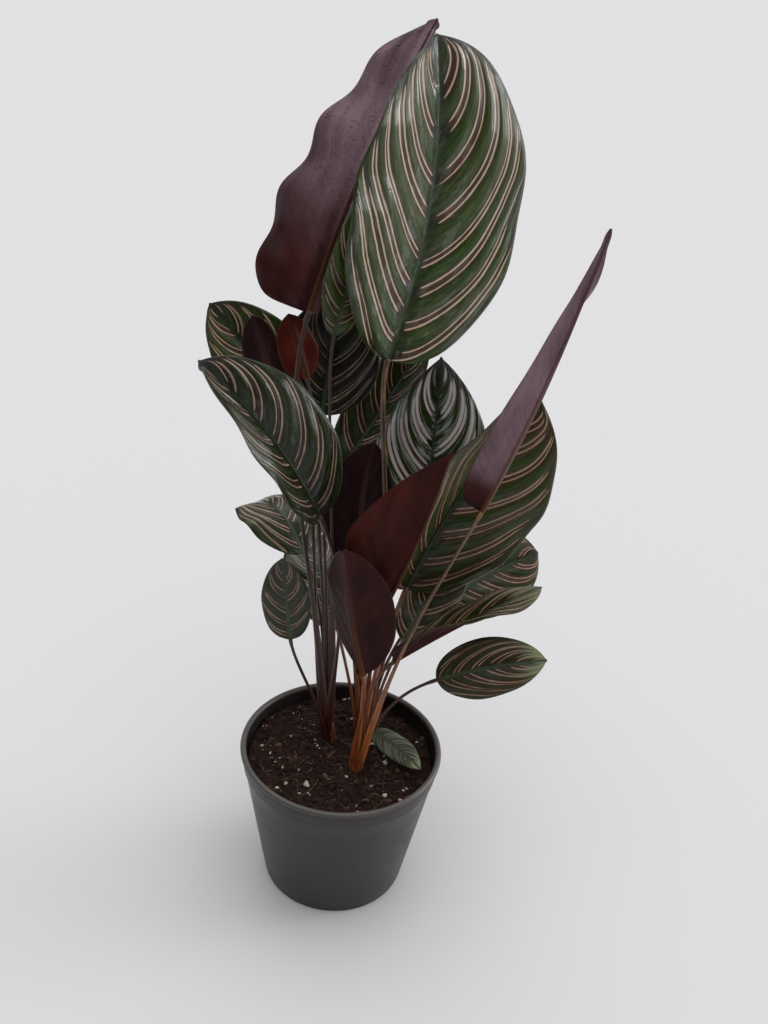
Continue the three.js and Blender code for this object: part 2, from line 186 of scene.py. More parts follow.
LEAVES = [
    leaf("leaf_tall_open", "back", (20, 35, 324), (36, 50, 483), (24, 8, 4), (0.2, -0.95, 0.22), 124,
         (33, 33, 22), (8, 8, 24), (0.48, 0.52), (1.5, 3, 0), (38, 22, 200), 25, fresh=0.3, silver=0.05,
         wet=1.0),
    leaf("leaf_tall_rolled", "left", (-21, 46, 347), (42, 68, 488), (-8, 4, -2), (0.02, 1, -0.1), 90,
         (72, 72, 10), (58, 62, 15), (0.15, 0.48), (5, 4, 0), (-10, 26, 190), 70, blush=0.3,
         bloom=(-0.2, 1.5), wet=1.0, rumple=1.5),
    leaf("leaf_dark_middle", "left", (-6, 66, 280), (8, 84, 346), (0, 5, 0), (-0.3, -0.9, 0.3), 58,
         (15, 15, 20), (15, 15, 20), (0.5, 0.6), (1, 2, 0), (-4, 36, 180), 50, fresh=0.1, depth=0.95),
    leaf("leaf_left_bright", "left", (-23, -8, 256), (-84, 0, 341), (8, -4, 6), (-0.1, -0.85, 0.5), 62,
         (66, 66, 10), (8, 8, 25), (0.5, 0.6), (1, 3, 0), (-8, 10, 150), 60, fresh=0.25, depth=0.75,
         silver=0.1, wet=0.8),
    leaf("leaf_centre_silver", "back", (50, 45, 192), (59, 58, 316), (6, 2, 2), (-0.2, -0.95, 0.2), 76,
         (10, 10, 20), (18, 18, 20), (0.45, 0.75), (1, 3, 60), (27, 24, 130), 40, fresh=0.4, silver=1.7,
         wet=0.8),
    leaf("leaf_front_purple", "front", (11, -26, 209), (35, -34, 303), (2, -6, 0), (0.05, 1, 0.1), 79,
         (105, 105, 10), (8, 8, 20), (0.95, 1.1), (1.2, 2, 40), (8, -16, 130), 40, blush=0.75,
         bloom=(-0.3, -0.1), rumple=0.8, pleat=0.5),
    leaf("leaf_right_broad", "front", (35, 11, 194), (106, 21, 304), (-10, 0, 12), (-0.1, -0.85, 0.5), 98,
         (64, 72, 12), (8, 8, 25), (0.45, 0.45), (1.5, 3, 10), (12, -5, 130), 40, fresh=0.15, depth=0.1,
         tan=0.7),
    leaf("leaf_right_rolled", "front", (50, -46, 275), (87, -58, 419), (1, -6, -8), (0.35, 0.93, 0), 32,
         (95, 80, 5), (5, 62, 15), (0.2, 0.9), (2, 2, 0), (14, -30, 180), 50, blush=0.3, bloom=(-0.6, 8.0),
         wet=0.6, rumple=0.5),
    leaf("leaf_right_low", "front", (21, -20, 167), (104, -20, 208), (0, 0, 5), (0.1, 0.15, 0.98), 46,
         (10, 10, 25), (80, 0, 25), (0.4, 0.5), (1, 3, 0), (9, -15, 128), 20, fresh=0.2, depth=0.1,
         pale=0.5, tan=0.5, blush=0.4, slant=1.5, stem=0.6),
    leaf("leaf_right_lowest", "front", (46, -24, 154), (102, -44, 175), (0, 0, 5), (0, -0.75, 0.65), 35,
         (12, 12, 20), (12, 12, 30), (0.5, 0.6), (0.8, 2, 90), (12, -16, 130), 22, fresh=0.35, depth=0.3,
         pale=1.0, tan=0.7, slant=1.8, stem=0.9),
    leaf("leaf_right_dark", "front", (34, 4, 163), (79, 34, 206), (0, 0, 6), (-0.1, -0.5, 0.85), 34,
         (12, 12, 20), (12, 12, 30), (0.5, 0.5), (0.8, 2, 0), (14, -8, 120), 22, fresh=0.2, depth=0.3,
         tan=0.5, stem=0.7),
    leaf("leaf_right_behind", "back", (64, 34, 166), (138, 56, 182), (0, 0, 4), (0, -0.8, 0.6), 54,
         (12, 12, 20), (12, 12, 30), (0.5, 0.45), (1, 2, 30), (26, 20, 128), 30, fresh=0.2, depth=0.2,
         tan=0.6, stem=0.3),
    leaf("leaf_centre_purple", "back", (17, 26, 193), (20, 44, 272), (-12, 2, 0), (0.3, 0.9, 0.1), 46,
         (30, 30, 10), (20, 20, 20), (0.5, 0.6), (1, 2, 0), (22, 26, 130), 30, blush=0.1,
         bloom=(-0.6, -0.4)),
    leaf("leaf_back_stripe", "back", (10, 75, 240), (65, 97, 317), (4, 2, 0), (-0.8, -0.6, 0.3), 44,
         (30, 30, 20), (30, 30, 20), (0.5, 0.7), (1, 3, 0), (17, 34, 160), 22, fresh=0.1, depth=0.5,
         tan=0.3),
    leaf("leaf_front_short", "front", (1, -27, 166), (-18, -41, 256), (-4, -4, 0), (0.1, 0.98, 0.1), 48,
         (10, 10, 20), (75, 75, 15), (0.5, 0.55), (1, 2, 20), (2, -14, 118), 28, blush=0.35,
         bloom=(-0.4, -0.2), rumple=0.3, pleat=0.3),
    leaf("leaf_left_dark", "left", (-34, 0, 175), (-41, -3, 230), (0, 2, 0), (-0.3, -0.9, 0.3), 28,
         (15, 15, 20), (15, 15, 20), (0.5, 0.6), (0.8, 2, 0), (-9, 12, 118), 20, fresh=0.1, depth=0.4),
    leaf("leaf_left_back", "left", (-12, 88, 261), (-63, 112, 331), (2, 2, 4), (-0.1, -0.95, 0.3), 58,
         (40, 40, 20), (10, 10, 20), (0.5, 0.6), (1.2, 3, 0), (-18, 26, 170), 22, fresh=0.3, depth=0.1),
    leaf("leaf_seedling", "back", (21, 9, 94), (40, -30, 94), (2, -2, 4), (-0.2, -0.3, 0.93), 17,
         (5, 5, 20), (5, 5, 20), (0.5, 0.6), (0.5, 2, 0), (20, 18, 104), 4, fresh=1.0, silver=0.8,
         pale=0.8),
    leaf("leaf_rear_right", "back", (34, 60, 190), (78, 118, 258), (0, 4, 16), (-0.3, -0.4, 0.85), 62,
         (14, 14, 24), (14, 14, 24), (0.45, 0.55), (1.2, 3, 0), (20, 26, 130), 40, fresh=0.2, depth=0.2),
    leaf("leaf_rear_left", "left", (-14, 60, 193), (-38, 104, 204), (0, 4, 24), (0.3, -0.4, 0.85), 60,
         (14, 14, 24), (14, 14, 24), (0.45, 0.55), (1.2, 3, 40), (-8, 24, 130), 40, fresh=0.2, depth=0.3),
    leaf("leaf_rear_low", "back", (8, 52, 140), (2, 126, 168), (0, 0, 14), (0, -0.2, 0.97), 50,
         (12, 12, 24), (12, 12, 24), (0.5, 0.55), (1, 2, 0), (12, 24, 112), 26, fresh=0.1, depth=0.3),
    leaf("leaf_middle_bright", "left", (-8, 42, 336), (10, 47, 411), (0, 0, 0), (0, -0.98, 0.1), 27,
         (10, 10, 20), (10, 10, 20), (0.5, 0.6), (1, 2, 0), (0, 30, 205), 25, fresh=1.0),
    leaf("leaf_left_red", "left", (-18, 56, 307), (-28, 63, 341), (0, -2, 0), (0, 1, 0), 24, (30, 30, 15),
         (20, 20, 15), (0.4, 0.5), (0.8, 2, 0), (-6, 30, 180), 40, blush=1.0),
    leaf("leaf_left_plum", "left", (-32, 66, 290), (-46, 70, 338), (0, -2, 0), (0, 1, 0), 24, (30, 30, 15),
         (20, 20, 15), (0.5, 0.5), (0.6, 2, 0), (-12, 34, 180), 40, blush=0.1, bloom=(-0.3, -0.3)),
]


# Arrays and meshes
def unit(vectors):
    """Vectors over their own length."""
    return vectors / np.linalg.norm(vectors, axis=-1, keepdims=True)


def smooth(value, low, high):
    """0 below low, 1 above high, and an S curve between."""
    share = np.clip((value - low) / (high - low), 0, 1)
    return share * share * (3 - 2 * share)


def stacked(*parts, shape=()):
    """Arrays and numbers, broadcast to one shape, side by side in a new last axis."""
    return np.stack(np.broadcast_arrays(*parts, np.empty(shape))[:len(parts)], -1)


def round_angles(sides):
    """The angles of a ring's points, as a row."""
    return 2 * np.pi * np.arange(sides)[None, :] / sides


def grid_faces(rows, columns, first=0, flip=False, wrap=False):
    """Four corner numbers for each cell of a grid whose points are numbered row by row from first."""
    row = np.arange(rows - 1)[:, None]
    column = np.arange(columns if wrap else columns - 1)[None, :]
    following = (column + 1) % columns
    corners = [row * columns + column, row * columns + following,
               (row + 1) * columns + following, (row + 1) * columns + column]
    faces = stacked(*corners).reshape(-1, 4) + first
    return faces[:, ::-1] if flip else faces


def tube_faces(rows, sides, flip=False):
    """Cells between rings of points, and fans that close the ends on the two points after the rings."""
    first = np.arange(sides)
    last = (rows - 1) * sides + first
    fans = np.concatenate([stacked(rows * sides, np.roll(first, -1), first),
                           stacked(rows * sides + 1, last, np.roll(last, -1))])
    return grid_faces(rows, sides, flip=flip, wrap=True), fans[:, ::-1] if flip else fans


def prism_faces(rows, sides):
    """Cells between rings of points, and one face for each end."""
    first = np.arange(sides)
    return [grid_faces(rows, sides, wrap=True), np.stack([first[::-1], (rows - 1) * sides + first])]


def copied_faces(faces, count, step):
    """Arrays of faces for count copies of a form, each numbered step points after the one before."""
    shift = (np.arange(count) * step)[:, None, None]
    return [(part[None] + shift).reshape(-1, part.shape[1]) for part in faces]


def new_object(name, data):
    holder = bpy.data.objects.new(name, data)
    bpy.context.scene.collection.objects.link(holder)
    return holder


def make_piece(name, points, faces, materials, material_numbers=None, values=None, slot=None):
    """A smooth mesh from points in millimetres, and an array of corner numbers for each size of face."""
    mesh = bpy.data.meshes.new(name)
    corners = np.concatenate([part.ravel() for part in faces])
    sizes = np.concatenate([np.full(len(part), part.shape[1]) for part in faces])
    mesh.vertices.add(len(points))
    mesh.vertices.foreach_set("co", (np.asarray(points) * MM).astype(np.float32).ravel())
    mesh.loops.add(len(corners))
    mesh.loops.foreach_set("vertex_index", corners.astype(np.int32))
    mesh.polygons.add(len(sizes))
    mesh.polygons.foreach_set("loop_start", (np.cumsum(sizes) - sizes).astype(np.int32))
    mesh.polygons.foreach_set("use_smooth", np.ones(len(sizes), bool))
    if material_numbers is not None:
        mesh.polygons.foreach_set("material_index", material_numbers.astype(np.int32))
    mesh.update(calc_edges=True)
    for key, rows in (values or {}).items():
        attribute = mesh.attributes.new(key, "FLOAT_VECTOR", "POINT")
        attribute.data.foreach_set("vector", rows.astype(np.float32).ravel())
    for material in materials:
        mesh.materials.append(material)
    piece = new_object(name, mesh)
    if slot:
        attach(piece, BODY)
    return piece


# Colours and nodes
SMOOTH = {"interpolation_type": "SMOOTHSTEP"}


def colour(code):
    """A linear colour from an sRGB hex value."""
    shares = [int(code[i:i + 2], 16) / 255 for i in (1, 3, 5)]
    return tuple(c / 12.92 if c <= 0.04045 else ((c + 0.055) / 1.055) ** 2.4 for c in shares) + (1,)


def per(millimetres):
    """The scale that gives a texture on Object coordinates features of this size."""
    return 1 / (millimetres * MM)


def add_node(tree, kind, inputs=(), out=None, **settings):
    """Add a node with its settings and its inputs, in order or by name, and return one of its outputs.

    Without a setting, a Math node multiplies two inputs and adds a third, and a Mix node mixes colours. A
    text among the inputs is an sRGB hex value.
    """
    if kind == "Math":
        settings = {"operation": "MULTIPLY_ADD" if len(inputs) == 3 else "MULTIPLY", **settings}
    if kind == "Mix":
        settings = {"data_type": "RGBA", **settings}
    node = tree.nodes.new("ShaderNode" + kind)
    for setting, value in settings.items():
        setattr(node, setting, value)
    if not isinstance(inputs, dict):
        inputs = dict(zip([i for i, socket in enumerate(node.inputs) if socket.enabled], inputs))
    for key, value in inputs.items():
        if isinstance(value, bpy.types.NodeSocket):
            tree.links.new(value, node.inputs[key])
        else:
            node.inputs[key].default_value = colour(value) if isinstance(value, str) else value
    return node.outputs[out] if out else next(socket for socket in node.outputs if socket.enabled)


def new_material(name, **constants):
    """A material, what adds nodes to it, and its shader's inputs, with the constant ones given by name."""
    material = bpy.data.materials.new(name)
    material.use_nodes = True
    tree = material.node_tree
    shader = tree.nodes["Principled BSDF"]
    for key, value in constants.items():
        shader.inputs[key.replace("_", " ")].default_value = value
    return material, partial(add_node, tree), shader.inputs


def plug(sockets, **values):
    """Link values to the inputs of those names."""
    for key, value in values.items():
        socket = sockets[key.replace("_", " ")]
        socket.id_data.links.new(value, socket)


def object_noise(add, millimetres, **settings):
    """Noise on Object coordinates with features of this size."""
    place = add("TexCoord", out="Object")
    return add("TexNoise", {"Vector": place, "Scale": per(millimetres), **settings})


def carried(add, key):
    """The three numbers that a mesh carries at each point under one name."""
    vector = add("Attribute", out="Vector", attribute_name=key)
    return tuple(add("SeparateXYZ", (vector,)).node.outputs)


# What the two sides of a leaf share
def vein_noise(add, veins, drag, **settings):
    """Noise drawn out along the side veins. drag says how fast it changes from the midrib outwards."""
    count, out, seed = veins
    place = add("CombineXYZ", (count, add("Math", (out, drag)), seed))
    return add("TexNoise", {"Vector": place, **settings})


def rib_and_rim(add, tissue, place, rib, rim):
    """The tissue with its midrib, which narrows from base to tip, and its thin margin painted over it.

    rib holds its half width at both ends, its softness, its strength and its colour at both ends. rim
    holds the widths where it starts and ends to fade, its strength and its colour.
    """
    out, along, margin = place
    wide, narrow, soft, strength, base_colour, tip_colour = rib
    low = add("MapRange", (along, 0.0, 1.0, wide, narrow))
    high = add("Math", (low, soft), operation="ADD")
    ribbed = add("MapRange", (out, low, high, strength, 0.0), **SMOOTH)
    rib_colour = add("Mix", (along, base_colour, tip_colour))
    tissue = add("Mix", (ribbed, tissue, rib_colour))
    start, end, strength, rim_colour = rim
    rimmed = add("MapRange", (margin, start, end, strength, 0.0))
    return add("Mix", (rimmed, tissue, rim_colour))


def chances(add, cell, side, seed):
    """Three random numbers for each cell of each half of a leaf."""
    place = add("CombineXYZ", (cell, side, seed))
    noise = add("TexWhiteNoise", {"Vector": place}, "Color", noise_dimensions="3D")
    return add("SeparateColor", (noise,)).node.outputs


def faded_in(add, distance, chance, power, spread, least, soft):
    """0 up to a random distance, and 1 from soft millimetres beyond it.

    The distance is at least least, and more by spread times the chance raised to the power.
    """
    start = add("Math", (chance, power), operation="POWER")
    start = add("Math", (start, spread, least))
    full = add("Math", (start, soft), operation="ADD")
    return add("MapRange", (distance, start, full), **SMOOTH)


# Leaf, upper face: a waxy cuticle over dark green tissue. Pairs of cream-pink pinstripes follow the side
# veins, with brown between the two lines of a pair, near-black green beside them and feathered lighter
# green between pairs. The wax gives it broad, soft highlights, and a film of water small, sharp ones.
def leaf_upper():
    material, add, shader = new_material("calathea_leaf_upper_waxy", Coat_Roughness=0.08,
                                         Specular_IOR_Level=0.25)
    count, across, margin = carried(add, "vein")
    pitch, spacing, width = carried(add, "pair")
    along, seed, fresh = carried(add, "leaf")
    depth, silver, pale = carried(add, "upper")
    wet = carried(add, "under")[2]
    tan, size, _ = carried(add, "own")
    out = add("Math", (across,), operation="ABSOLUTE")
    side = add("Math", (across,), operation="SIGN")
    cell = add("Math", (count,), operation="ROUND")
    part = add("Math", (count, cell), operation="SUBTRACT")

    # Chance for each pair, whose middle it moves, and then for each line of it
    pair_chance = chances(add, cell, side, seed)
    shifted = add("Math", (pair_chance["Red"], PAIR_SHIFT, part))
    centred = add("Math", (shifted, PAIR_SHIFT / 2), operation="SUBTRACT")
    offset = add("Math", (centred, pitch))
    line_side = add("Math", (offset,), operation="SIGN")
    line_cell = add("Math", (line_side, 0.37, cell))
    line_chance = chances(add, line_cell, side, seed)

    # Streaks along the veins, fine across them, and the slow wobble of the lines
    veins = (count, out, seed)
    streaks = vein_noise(add, veins, 0.012, Scale=9.0, Detail=4.0, Roughness=0.65)
    wobble = vein_noise(add, veins, 0.12, Scale=2.4, Detail=2.0)

    # Where a line starts and ends, in millimetres of a full-size blade, and its width there
    sized_out = add("Math", (out, size), operation="DIVIDE")
    sized_margin = add("Math", (margin, size), operation="DIVIDE")
    inner = faded_in(add, sized_out, line_chance["Red"], power=2.0, spread=4.5, least=1.5, soft=3.0)
    outer = faded_in(add, sized_margin, line_chance["Green"], power=3.0, spread=9.0, least=1.3, soft=5.0)
    real = add("MapRange", (count, 0.45, 0.6))
    present = add("Math", (add("Math", (inner, outer)), real))
    taper = add("Math", (present, 0.5), operation="POWER")
    own_width = add("Math", (line_chance["Blue"], 0.5, 0.5))
    # Leaves with painted sheen also get wider lines
    for factor in (width, add("Math", (silver, 0.9, 1.0)), taper):
        own_width = add("Math", (own_width, factor))
    own_spacing = add("Math", (pair_chance["Green"], 0.6, 0.7))
    own_spacing = add("Math", (own_spacing, spacing))

    # The lines, by the distance to the nearer one of the pair. A small leaf has them faint.
    distance = add("Math", (offset,), operation="ABSOLUTE")
    from_line = add("Math", (distance, own_spacing), operation="SUBTRACT")
    from_line = add("Math", (from_line,), operation="ABSOLUTE")
    unsteady = add("Math", (wobble, 0.5), operation="SUBTRACT")
    from_line = add("Math", (unsteady, LINE_WOBBLE, from_line))
    full = add("Math", (own_width, LINE_SOFTNESS), operation="SUBTRACT")
    gone = add("Math", (own_width, LINE_SOFTNESS), operation="ADD")
    line = add("MapRange", (from_line, full, gone, 1.0, 0.0), **SMOOTH)
    line = add("Math", (line, add("MapRange", (present, 0.0, 0.12))))
    grown = add("MapRange", (size, 0.15, 0.3, 0.2, 1.0))
    line = add("Math", (line, grown))

    # Between the lines of a pair, beside the pair, and midway between two pairs
    inside_end = add("Math", (own_spacing, 0.5), operation="ADD")
    inside = add("MapRange", (distance, own_spacing, inside_end, 1.0, 0.0))
    between = add("Math", (add("Math", (inside, taper)), grown))
    beside_end = add("Math", (own_spacing, BESIDE_REACH), operation="ADD")
    beside = add("MapRange", (distance, own_spacing, beside_end, 1.0, 0.0), **SMOOTH)
    away = add("Math", (1.0, beside), operation="SUBTRACT")
    away = add("Math", (away, add("MapRange", (streaks, 0.35, 0.68, 0.15, 1.0))))

    # Green tissue, near black beside the pairs and lighter midway between them
    patches = object_noise(add, 34, Detail=2.0)
    olive = add("MapRange", (patches, 0.4, 0.62))
    light_green = add("Mix", (olive, "#2e4a1a", "#3f4219"))
    old_green = add("Mix", (away, "#191d0b", light_green))
    young_green = add("Mix", (away, "#24350f", "#587426"))
    tissue = add("Mix", (fresh, old_green, young_green))
    # Grey streaks in patches: a painted sheen that stands in for reflections
    grey_patch = add("MapRange", (patches, 0.36, 0.56, 0.0, silver))
    grey_streak = add("Math", (add("MapRange", (streaks, 0.5, 0.62, 0.0, 0.7)), grey_patch))
    tissue = add("Mix", (grey_streak, tissue, "#b4bdb9"))

    # Brown between the lines, and beside the pairs on tan leaves, redder near the midrib
    red_brown = add("Mix", (streaks, "#331c10", "#573521"))
    olive_brown = add("Mix", (streaks, "#2c2612", "#4a4224"))
    brown = add("Mix", (add("MapRange", (sized_out, 8.0, 34.0)), red_brown, olive_brown))
    browned = add("Math", (add("Math", (beside, tan)), 0.8))
    browned = add("Math", (browned, add("Math", (between, 0.8))), operation="MAXIMUM")
    tissue = add("Mix", (browned, tissue, brown))

    # The lines over a rusty fringe, pinker near the midrib, and a band of painted shade beside the midrib
    pinkness = add("MapRange", (sized_out, 4.0, 22.0, 0.6, 0.1))
    cream = add("Mix", (pinkness, "#bfb498", "#c29b87"))
    cream = add("Mix", (add("Math", (tan, 0.8)), cream, "#97795c"))
    # Painted sheen also whitens the lines
    cream = add("Mix", (add("Math", (silver, 0.8)), cream, "#e2dcd8"))
    fringe_end = add("Math", (own_width, 1.1), operation="ADD")
    fringe = add("MapRange", (from_line, own_width, fringe_end, 0.7, 0.0))
    fringe = add("Math", (add("Math", (fringe, taper)), grown))
    tissue = add("Mix", (fringe, tissue, "#5c3020"))
    tissue = add("Mix", (line, tissue, cream))
    near_rib = add("MapRange", (out, 1.0, 13.0, 0.45, 0.0))
    near_rib = add("Math", (near_rib, add("Math", (1.0, line), operation="SUBTRACT")))
    tissue = add("Mix", (near_rib, tissue, "#14190d"))

    # The leaf's own pale tip, and painted shade: the tissue darkened towards near black, the lines less so
    tip_place = add("Math", (streaks, 0.9, along))
    tip = add("MapRange", (tip_place, 1.2, 1.5, 0.0, pale), **SMOOTH)
    tissue = add("Mix", (tip, tissue, "#a5b083"))
    shaded = add("Math", (line, -0.35, 0.8))
    tissue = add("Mix", (add("Math", (shaded, depth)), tissue, "#070605"))
    tissue = rib_and_rim(add, tissue, (out, along, margin), (0.9, 0.2, 0.8, 0.85, "#3a4a26", "#26382b"),
                         (0.25, 0.8, 0.7, "#4a5236"))

    # A broken film of water on the wet ones
    puddles = vein_noise(add, veins, 0.06, Scale=1.7, Detail=4.0, Roughness=0.6)
    film = add("MapRange", (puddles, 0.53, 0.58, 0.0, wet))
    plug(shader, Base_Color=tissue, Roughness=add("MapRange", (patches, 0.35, 0.65, 0.16, 0.34)),
         Normal=add("Bump", {"Strength": 0.8, "Distance": 0.35 * MM, "Height": streaks}),
         Coat_Weight=add("Math", (film, 0.85, 0.15)),
         Coat_Normal=add("Bump", {"Distance": 1.2 * MM, "Height": puddles}))
    return material


# Leaf, underside: a matt, thin cuticle over tissue full of purple pigment, which the side veins stripe.
# Where it has wax, the purple turns to lilac grey. Soft light and dark streaks along it are painted
# shading of lengthwise folds, and some leaves are darkened by painted shade. Droplets of water stand on
# the wet ones, each with a faint painted glint.
def leaf_under():
    material, add, shader = new_material("calathea_leaf_underside_purple", Specular_IOR_Level=0.1)
    count, across, margin = carried(add, "vein")
    along, seed, _ = carried(add, "leaf")
    blush, bloom, wet = carried(add, "under")
    out = add("Math", (across,), operation="ABSOLUTE")
    streaks = vein_noise(add, (count, out, seed), 0.012, Scale=7.0, Detail=5.0, Roughness=0.6)
    patches = object_noise(add, 28, Detail=2.0)
    # Soft light and dark streaks along the blade, painted shading of lengthwise folds, set the tone with
    # the random patches and the vein streaks
    band_place = add("CombineXYZ", (across, add("Math", (along, 9.0)), seed))
    bands = add("TexNoise", {"Vector": band_place, "Scale": 0.11, "Detail": 3.0, "Roughness": 0.6})
    shade = add("Math", (bands, 0.9, patches))
    shade = add("Math", (streaks, 0.5, shade))
    shade = add("MapRange", (shade, 0.87, 1.63))
    plum = add("Mix", (shade, "#1b0b0d", "#381c20"))
    red = add("Mix", (shade, "#260a08", "#64200f"))
    tissue = add("Mix", (blush, plum, red))
    # Lilac-grey wax at the base and at the tip, stronger where the painted fold shading is lighter
    waxy = add("MapRange", (bloom, 0.0, 1.0), **SMOOTH)
    waxy = add("Math", (waxy, add("MapRange", (shade, 0.1, 0.8, 0.35, 1.0))))
    tissue = add("Mix", (waxy, tissue, "#8f7780"))
    # Painted shade: under 0 the tissue darkens towards near black
    dusky = add("MapRange", (bloom, -1.0, 0.0, 1.0, 0.0))
    tissue = add("Mix", (dusky, tissue, "#0d0506"))
    tissue = rib_and_rim(add, tissue, (out, along, margin), (1.1, 0.3, 0.7, 0.7, "#5c3b22", "#3a1f24"),
                         (0.2, 0.7, 0.4, "#4a2c26"))

    # Droplets: domes in some of the cells of a fine pattern
    drops = add("TexVoronoi", {"Vector": add("TexCoord", out="Object"), "Scale": per(2.2)}).node.outputs
    chosen = add("SeparateColor", (drops["Color"],))
    chosen = add("MapRange", (chosen, 0.4, 0.46, 0.0, wet))
    wetted = add("Math", (along, 1.2, patches))
    chosen = add("Math", (chosen, add("MapRange", (wetted, 0.85, 1.1))))
    dome = add("MapRange", (drops["Distance"], 0.14, 0.4, 1.0, 0.0), **SMOOTH)
    dome = add("Math", (dome, chosen))
    # Each droplet lightened a little: a painted glint
    tissue = add("Mix", (add("Math", (dome, 0.1)), tissue, "#b3a2aa"))
    skin = add("MapRange", (streaks, 0.3, 0.7, 0.46, 0.54))
    skin = add("Math", (dusky, 0.3, skin))
    skin = add("Math", (wet, -0.12, skin))
    bump = add("Bump", {"Strength": 0.6, "Distance": 0.08 * MM, "Height": streaks})
    bump = add("Bump", {"Distance": 0.6 * MM, "Height": dome, "Normal": bump})
    plug(shader, Base_Color=tissue, Roughness=add("MapRange", (dome, 0.0, 0.3, skin, 0.1)), Normal=bump)
    return material


# Sheaths and petioles: smooth, slightly juicy stem tissue, striped lengthwise by its fibres, orange-brown
# at the crown and olive higher up. The darkest ones are purple-brown all the way. Real fibres are finer:
# they are drawn as coarse as they need to show.
def stalk_tissue():
    material, add, shader = new_material("calathea_stalk_fibrous", Coat_Weight=0.15, Coat_Roughness=0.3)
    around, height, tint = carried(add, "stem")
    place = add("CombineXYZ", (around, add("Math", (height, 0.03)), tint))
    fibre = add("TexNoise", {"Vector": place, "Scale": 2.2, "Detail": 5.0, "Roughness": 0.7})
    hue = add("Math", (add("Math", (tint, 7.3)),), operation="FRACT")
    warm = add("Mix", (hue, "#9c3f22", "#c07c34"))
    low = add("Mix", (tint, warm, "#34150f"))
    high = add("Mix", (tint, "#6a5236", "#2a1f1a"))
    body = add("Mix", (add("MapRange", (height, 25.0, 120.0)), low, high))
    dark = add("MapRange", (fibre, 0.4, 0.54, 0.75, 0.0))
    body = add("Mix", (dark, body, "#45190e"))
    light = add("MapRange", (fibre, 0.54, 0.66, 0.0, 0.7))
    light = add("Math", (light, add("MapRange", (tint, 0.0, 1.0, 1.0, 0.1))))
    body = add("Mix", (light, body, "#d08a48"))
    plug(shader, Base_Color=body, Roughness=add("MapRange", (fibre, 0.3, 0.7, 0.38, 0.52)),
         Normal=add("Bump", {"Strength": 0.6, "Distance": 0.2 * MM, "Height": fibre}))
    return material


# Pot: polypropylene with carbon black, injection moulded and satin, dusty and a little scuffed by
# handling, with the top of its rim lighter, partly from wear and partly a painted highlight. The mould's
# fine grain is drawn a few times as coarse as it is, so that it shows.
def pot_plastic():
    material, add, shader = new_material("polypropylene_charcoal_moulded")
    smudges = object_noise(add, 22, Detail=6.0, Roughness=0.6)
    grain = object_noise(add, 0.9, Detail=2.0)
    dust = add("MapRange", (smudges, 0.42, 0.72, 0.0, 0.55))
    body = add("Mix", (dust, "#221d1c", "#39322f"))
    height = add("SeparateXYZ", (add("TexCoord", out="Object"),), "Z")
    # The top 3 mm lighter: rim wear and a painted highlight
    worn = add("MapRange", (height, (POT_HEIGHT - 3) * MM, POT_HEIGHT * MM, 0.0, 0.6))
    body = add("Mix", (worn, body, "#6c6862"))
    plug(shader, Base_Color=body, Roughness=add("MapRange", (smudges, 0.35, 0.7, 0.32, 0.5)),
         Normal=add("Bump", {"Strength": 0.25, "Distance": 0.06 * MM, "Height": grain}))
    return material


# Peat: milled sphagnum, moist and loose, nearly black with browner crumbs and no shine
def peat():
    material, add, shader = new_material("peat_milled_moist", Specular_IOR_Level=0.2)
    clods = object_noise(add, 5, Detail=6.0, Roughness=0.7)
    grit = object_noise(add, 0.8, Detail=3.0, Roughness=0.7)
    body = add("Mix", (add("MapRange", (clods, 0.35, 0.7)), "#110908", "#33201a"))
    plug(shader, Base_Color=body, Roughness=add("MapRange", (clods, 0.3, 0.7, 0.7, 0.95)),
         Normal=add("Bump", {"Strength": 0.9, "Distance": 0.5 * MM, "Height": grit}))
    return material


def crumb(name, dark, light, rough):
    """Loose bits in the peat, each a little lighter or darker than the next."""
    material, add, shader = new_material(name, Specular_IOR_Level=0.2, Roughness=rough)
    patches = object_noise(add, 3, Detail=4.0, Roughness=0.7)
    body = add("Mix", (add("MapRange", (patches, 0.35, 0.65)), dark, light))
    plug(shader, Base_Color=body,
         Normal=add("Bump", {"Strength": 0.7, "Distance": 0.2 * MM, "Height": patches}))
    return material


# Blades
def half_width(one, s):
    """An oval raised to two powers, drawn out to a point over the last share of its length."""
    first, second = one["round"]
    widest = first / (first + second)
    left = np.maximum(1 - s, 0)
    oval = one["width"] / 2 * (s / widest) ** first * (left / (1 - widest)) ** second
    least = TIP_HALF_WIDTH + (BASE_HALF_WIDTH - TIP_HALF_WIDTH) * np.minimum(1, left / POINT_SHARE)
    return np.maximum(oval * left / (left + POINT_SHARE), least)


def midrib(one, s):
    """A quadratic curve from base to tip, its middle pushed by bow, with its along, up and side."""
    base, tip, bow = (np.array(one[key], float) for key in ("base", "tip", "bow"))
    middle = (base + tip) / 2 + bow
    point = (1 - s) ** 2 * base + 2 * s * (1 - s) * middle + s ** 2 * tip
    along = unit((1 - s) * (middle - base) + s * (tip - middle))
    face = unit(np.array(one["face"], float))
    up = unit(face - (along @ face)[..., None] * along)
    return point, along, up, np.cross(along, up)


